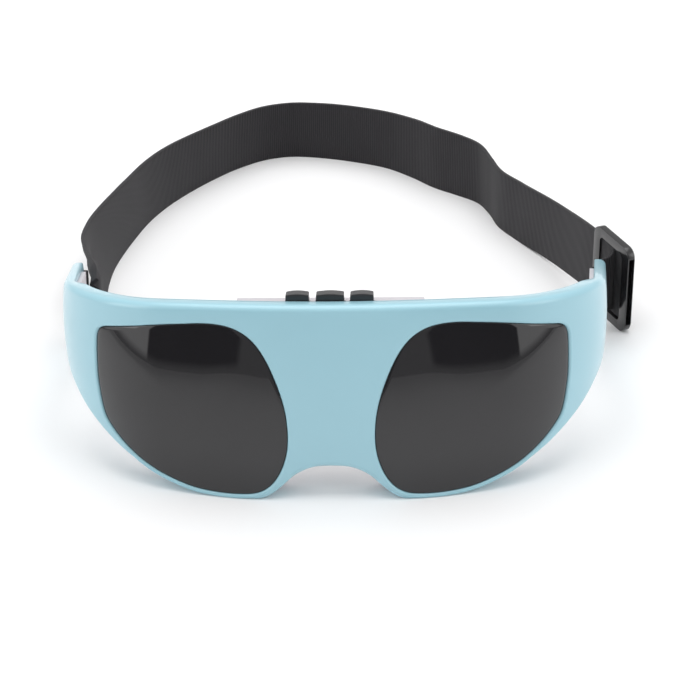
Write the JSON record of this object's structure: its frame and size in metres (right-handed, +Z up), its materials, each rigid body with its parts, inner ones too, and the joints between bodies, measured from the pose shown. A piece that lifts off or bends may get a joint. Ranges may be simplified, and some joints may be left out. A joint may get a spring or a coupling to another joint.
{
  "type": "eye massager mask",
  "caption": "Wrap-around battery eye massager mask with smoked lenses, inner massage nubs, push buttons and an elastic head strap with a slider.",
  "frame": {"origin": "centre of the overall bounding box at its base, on the surface that the mask stands on", "axes": "+X to the wearer's left, +Y back through the strap loop, +Z up; the mask leans back 12 degrees"},
  "size_m": [0.1936, 0.2493, 0.0618],
  "materials": {
    "shell_blue": "glossy",
    "cover_grey": "satin",
    "lens_tint": "mirror gloss, smoked",
    "button_black": "glossy",
    "strap_elastic": "fine ribbed elastic",
    "slider_black": "glossy",
    "nub_rubber": "soft matt",
    "magnet": "nickel plated",
    "tray_black": "matt",
    "cell_wrap": "printed sleeve",
    "contact_metal": "nickel plated",
    "board_green": "solder resist",
    "chip_black": "moulded epoxy",
    "screw_steel": "zinc plated",
    "motor_steel": "nickel plated",
    "weight_metal": "sintered tungsten",
    "sleeve_rubber": "soft matt",
    "wire_sleeve": "PVC insulation"
  },
  "bodies": {
    "mask": {"front_shell": "shell_blue", "rear_cover": "cover_grey", "battery_tray": "tray_black", "battery_lower": "cell_wrap", "battery_upper": "cell_wrap", "battery_springs": "contact_metal", "battery_contacts": "contact_metal", "circuit_board": "board_green", "board_screws": "screw_steel", "controller_chip": "chip_black", "board_parts": "chip_black", "elastic_strap": "strap_elastic", "strap_return": "strap_elastic", "case_screws": "screw_steel", "power_switch": "chip_black", "mode_switch": "chip_black", "speed_switch": "chip_black", "lens_left": "lens_tint", "massage_studs_left": "nub_rubber", "stud_magnets_left": "magnet", "motor_left": "motor_steel", "motor_sleeve_left": "sleeve_rubber", "motor_wires_left": "wire_sleeve", "strap_end_left": "strap_elastic", "lens_right": "lens_tint", "massage_studs_right": "nub_rubber", "stud_magnets_right": "magnet", "motor_right": "motor_steel", "motor_sleeve_right": "sleeve_rubber", "motor_wires_right": "wire_sleeve", "strap_end_right": "strap_elastic"},
    "power_key": {"power_button": "button_black", "power_plunger": "chip_black"},
    "mode_key": {"mode_button": "button_black", "mode_plunger": "chip_black"},
    "speed_key": {"speed_button": "button_black", "speed_plunger": "chip_black"},
    "rotor_left": {"motor_shaft_left": "motor_steel", "motor_weight_left": "weight_metal"},
    "rotor_right": {"motor_shaft_right": "motor_steel", "motor_weight_right": "weight_metal"},
    "door": {"battery_door": "cover_grey"},
    "slider": {"strap_slider": "slider_black"}
  },
  "joints": [
    {"name": "power_press", "type": "slide", "parent": "mask", "child": "power_key", "axis": [0, -0.2079, -0.9781], "range_m": [0, 0.0006], "stiffness_N_per_m": 400, "springref_m": -0.0003},
    {"name": "mode_press", "type": "slide", "parent": "mask", "child": "mode_key", "axis": [0, -0.2079, -0.9781], "range_m": [0, 0.0006], "stiffness_N_per_m": 400, "springref_m": -0.0003},
    {"name": "speed_press", "type": "slide", "parent": "mask", "child": "speed_key", "axis": [0, -0.2079, -0.9781], "range_m": [0, 0.0006], "stiffness_N_per_m": 400, "springref_m": -0.0003},
    {"name": "rotor_spin_left", "type": "hinge", "parent": "mask", "child": "rotor_left", "pos_m": [-0.07932, -0.08886, 0.04174], "axis": [0, 0.2079, 0.9781], "continuous": true},
    {"name": "rotor_spin_right", "type": "hinge", "parent": "mask", "child": "rotor_right", "pos_m": [0.07032, -0.08886, 0.04174], "axis": [0, 0.2079, 0.9781], "continuous": true},
    {"name": "door_slide", "type": "slide", "parent": "mask", "child": "door", "axis": [0, -0.2079, -0.9781], "range_m": [0, 0.0285]},
    {"name": "slider_adjust", "type": "slide", "parent": "mask", "child": "slider", "axis": [-0.4067, 0.9135, 0], "range_m": [0, 0.012], "deforming": ["strap_return"]}
  ]
}
